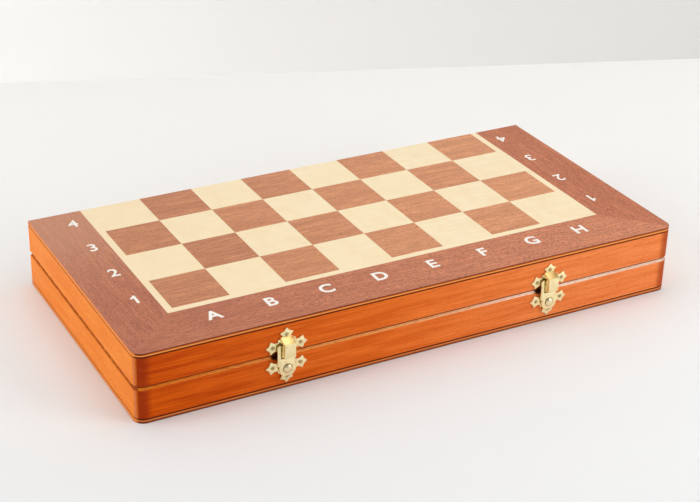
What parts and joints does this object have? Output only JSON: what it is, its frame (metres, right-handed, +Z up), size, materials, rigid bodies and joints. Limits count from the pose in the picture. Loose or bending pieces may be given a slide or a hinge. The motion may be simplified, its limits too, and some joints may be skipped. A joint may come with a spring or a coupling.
{
  "type": "folding chess set",
  "caption": "Folding wooden chess case, closed: inlaid half boards outside, two brass hook clasps in front, butt hinges at the fold and the men lying in a tray inside.",
  "frame": {"origin": "middle of the underside of the closed case, on the surface that it rests on", "axes": "+X along the long edges, to the right seen from the clasps; +Y from the clasps to the hinged fold; +Z up"},
  "size_m": [0.406, 0.2119, 0.05],
  "materials": {
    "border_veneer": "satin lacquered dark veneer",
    "dark_square_veneer": "satin lacquered dark veneer",
    "light_veneer": "satin lacquered pale veneer",
    "panel_core": "stained and lacquered edge",
    "rail_wood": "orange-brown stain under gloss lacquer",
    "clasp_sheet": "bright stamped sheet",
    "hook_brass": "bright stamped sheet",
    "nail_brass": "plated round head",
    "hinge_brass": "drawn, slightly dull",
    "tray_foam": "flocked foam",
    "lining_felt": "wool felt",
    "light_men": "turned pale wood, satin lacquer",
    "dark_men": "turned wood stained dark, satin lacquer"
  },
  "bodies": {
    "lower_case": {"black_bishops": "dark_men", "black_king": "dark_men", "black_knights": "dark_men", "black_pawns": "dark_men", "black_queen": "dark_men", "black_rooks": "dark_men", "hinge_pins": "hinge_brass", "hook_rivets": "hook_brass", "left_base_plate": "clasp_sheet", "lower_clasp_nails": "nail_brass", "lower_core_panel": "panel_core", "lower_dark_squares": "dark_square_veneer", "lower_fold_rail": "rail_wood", "lower_front_border": "border_veneer", "lower_front_rail": "rail_wood", "lower_hinge_leaves": "hinge_brass", "lower_hinge_screws": "hinge_brass", "lower_left_border": "border_veneer", "lower_left_rail": "rail_wood", "lower_light_squares": "light_veneer", "lower_right_border": "border_veneer", "lower_right_rail": "rail_wood", "lower_stringing": "light_veneer", "right_base_plate": "clasp_sheet", "storage_tray": "tray_foam", "white_bishops": "light_men", "white_king": "light_men", "white_knights": "light_men", "white_pawns": "light_men", "white_queen": "light_men", "white_rooks": "light_men"},
    "upper_case": {"left_keeper_plate": "clasp_sheet", "right_keeper_plate": "clasp_sheet", "upper_clasp_nails": "nail_brass", "upper_core_panel": "panel_core", "upper_dark_squares": "dark_square_veneer", "upper_felt_lining": "lining_felt", "upper_fold_rail": "rail_wood", "upper_front_border": "border_veneer", "upper_front_rail": "rail_wood", "upper_hinge_leaves": "hinge_brass", "upper_hinge_screws": "hinge_brass", "upper_left_border": "border_veneer", "upper_left_rail": "rail_wood", "upper_light_squares": "light_veneer", "upper_right_border": "border_veneer", "upper_right_rail": "rail_wood", "upper_stringing": "light_veneer"},
    "left_hook": {"left_hook": "hook_brass"},
    "right_hook": {"right_hook": "hook_brass"}
  },
  "joints": [
    {"name": "fold_hinge", "type": "hinge", "parent": "lower_case", "child": "upper_case", "pos_m": [0, 0.1017, 0.025], "axis": [-1, 0, 0], "range_deg": [0, 180]},
    {"name": "left_hook_pivot", "type": "hinge", "parent": "lower_case", "child": "left_hook", "pos_m": [-0.1012, -0.1015, 0.0156], "axis": [0, -1, 0], "range_deg": [0, 110]},
    {"name": "right_hook_pivot", "type": "hinge", "parent": "lower_case", "child": "right_hook", "pos_m": [0.0988, -0.1015, 0.0156], "axis": [0, -1, 0], "range_deg": [0, 110]}
  ]
}
